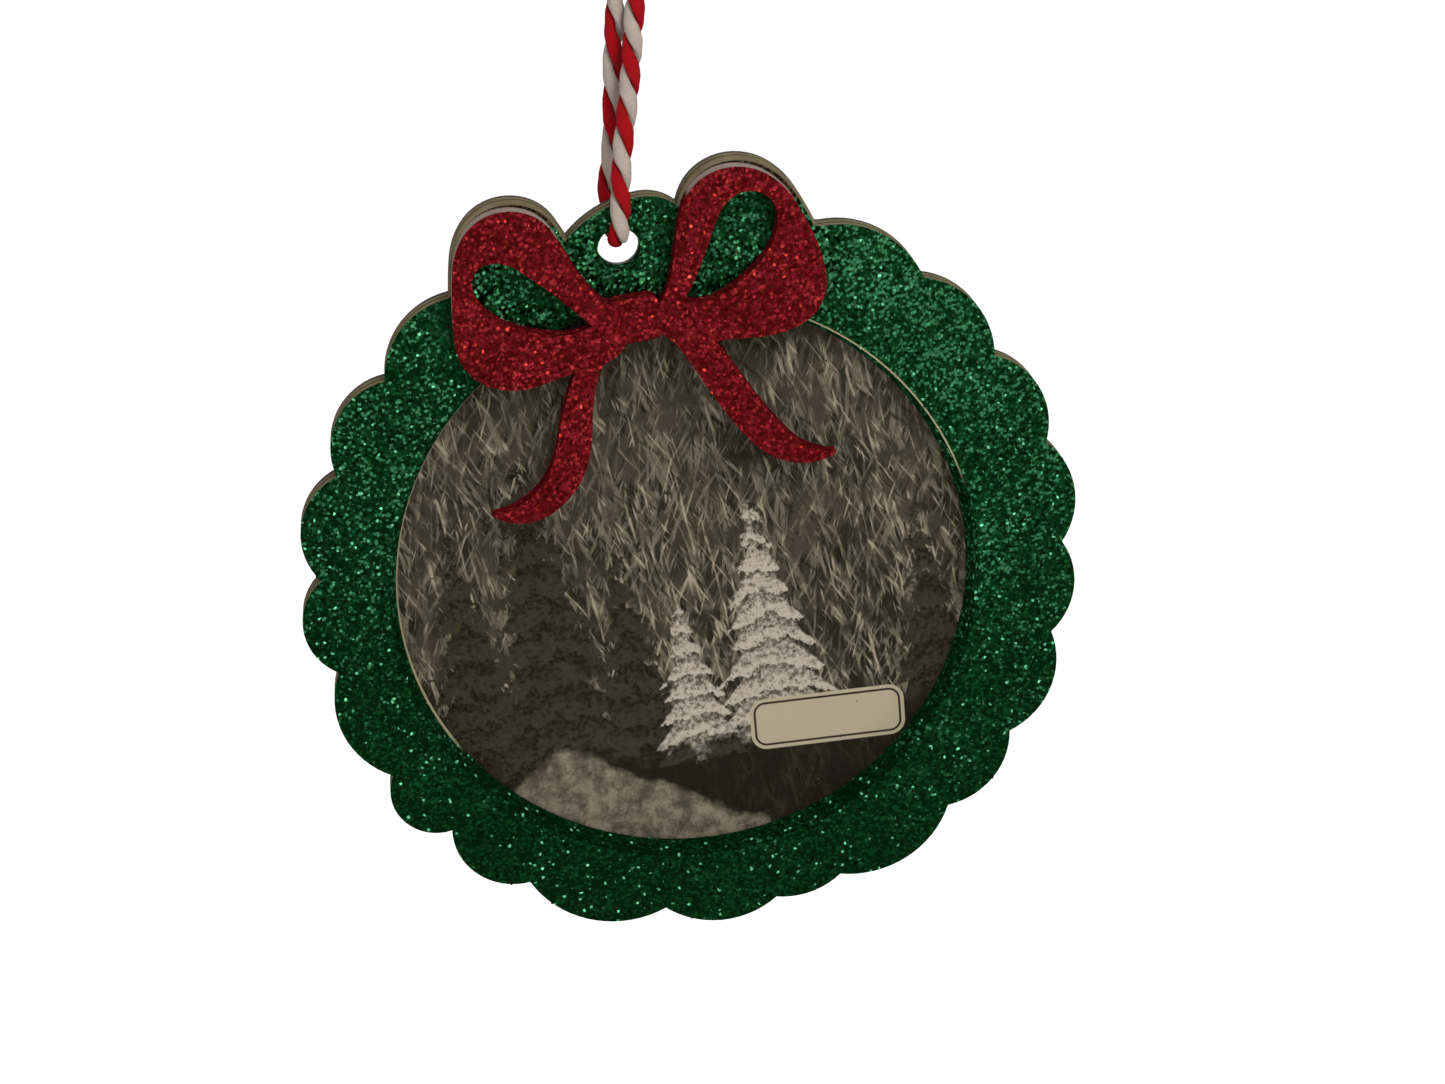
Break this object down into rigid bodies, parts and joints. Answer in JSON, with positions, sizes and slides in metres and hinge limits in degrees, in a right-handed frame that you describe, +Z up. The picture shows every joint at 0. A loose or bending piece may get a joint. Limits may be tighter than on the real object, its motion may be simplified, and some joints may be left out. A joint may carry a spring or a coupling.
{
  "type": "picture frame ornament",
  "caption": "Flat hanging ornament: a scalloped glitter wreath frames a round picture under a clear cover, with a glitter bow on top and a loop of twisted twine.",
  "frame": {"origin": "on the back face, behind the middle of the round window", "axes": "+Z up as it hangs, the front looks towards -Y, +X to the right as seen from the front"},
  "size_m": [0.1005, 0.0099, 0.1601],
  "materials": {
    "dark_backing": "matt, near-black brown",
    "photo_print": "satin print in warm greys",
    "clear_cover": "clear plastic film, smooth",
    "clear_acrylic": "clear cast sheet with polished edges",
    "green_glitter": "deep green glitter with bright flakes",
    "red_glitter": "deep red glitter with bright flakes",
    "baker_twine": "twist of one red and one white cotton strand"
  },
  "bodies": {
    "root": {"back_panel": "dark_backing", "pocket_spacer": "dark_backing", "photo_insert": "photo_print", "window_cover": "clear_cover", "wreath_plate": "clear_acrylic", "wreath_film": "green_glitter", "bow_plate": "clear_acrylic", "bow_film": "red_glitter", "twine_loop": "baker_twine", "twine_knot": "baker_twine"}
  },
  "joints": []
}
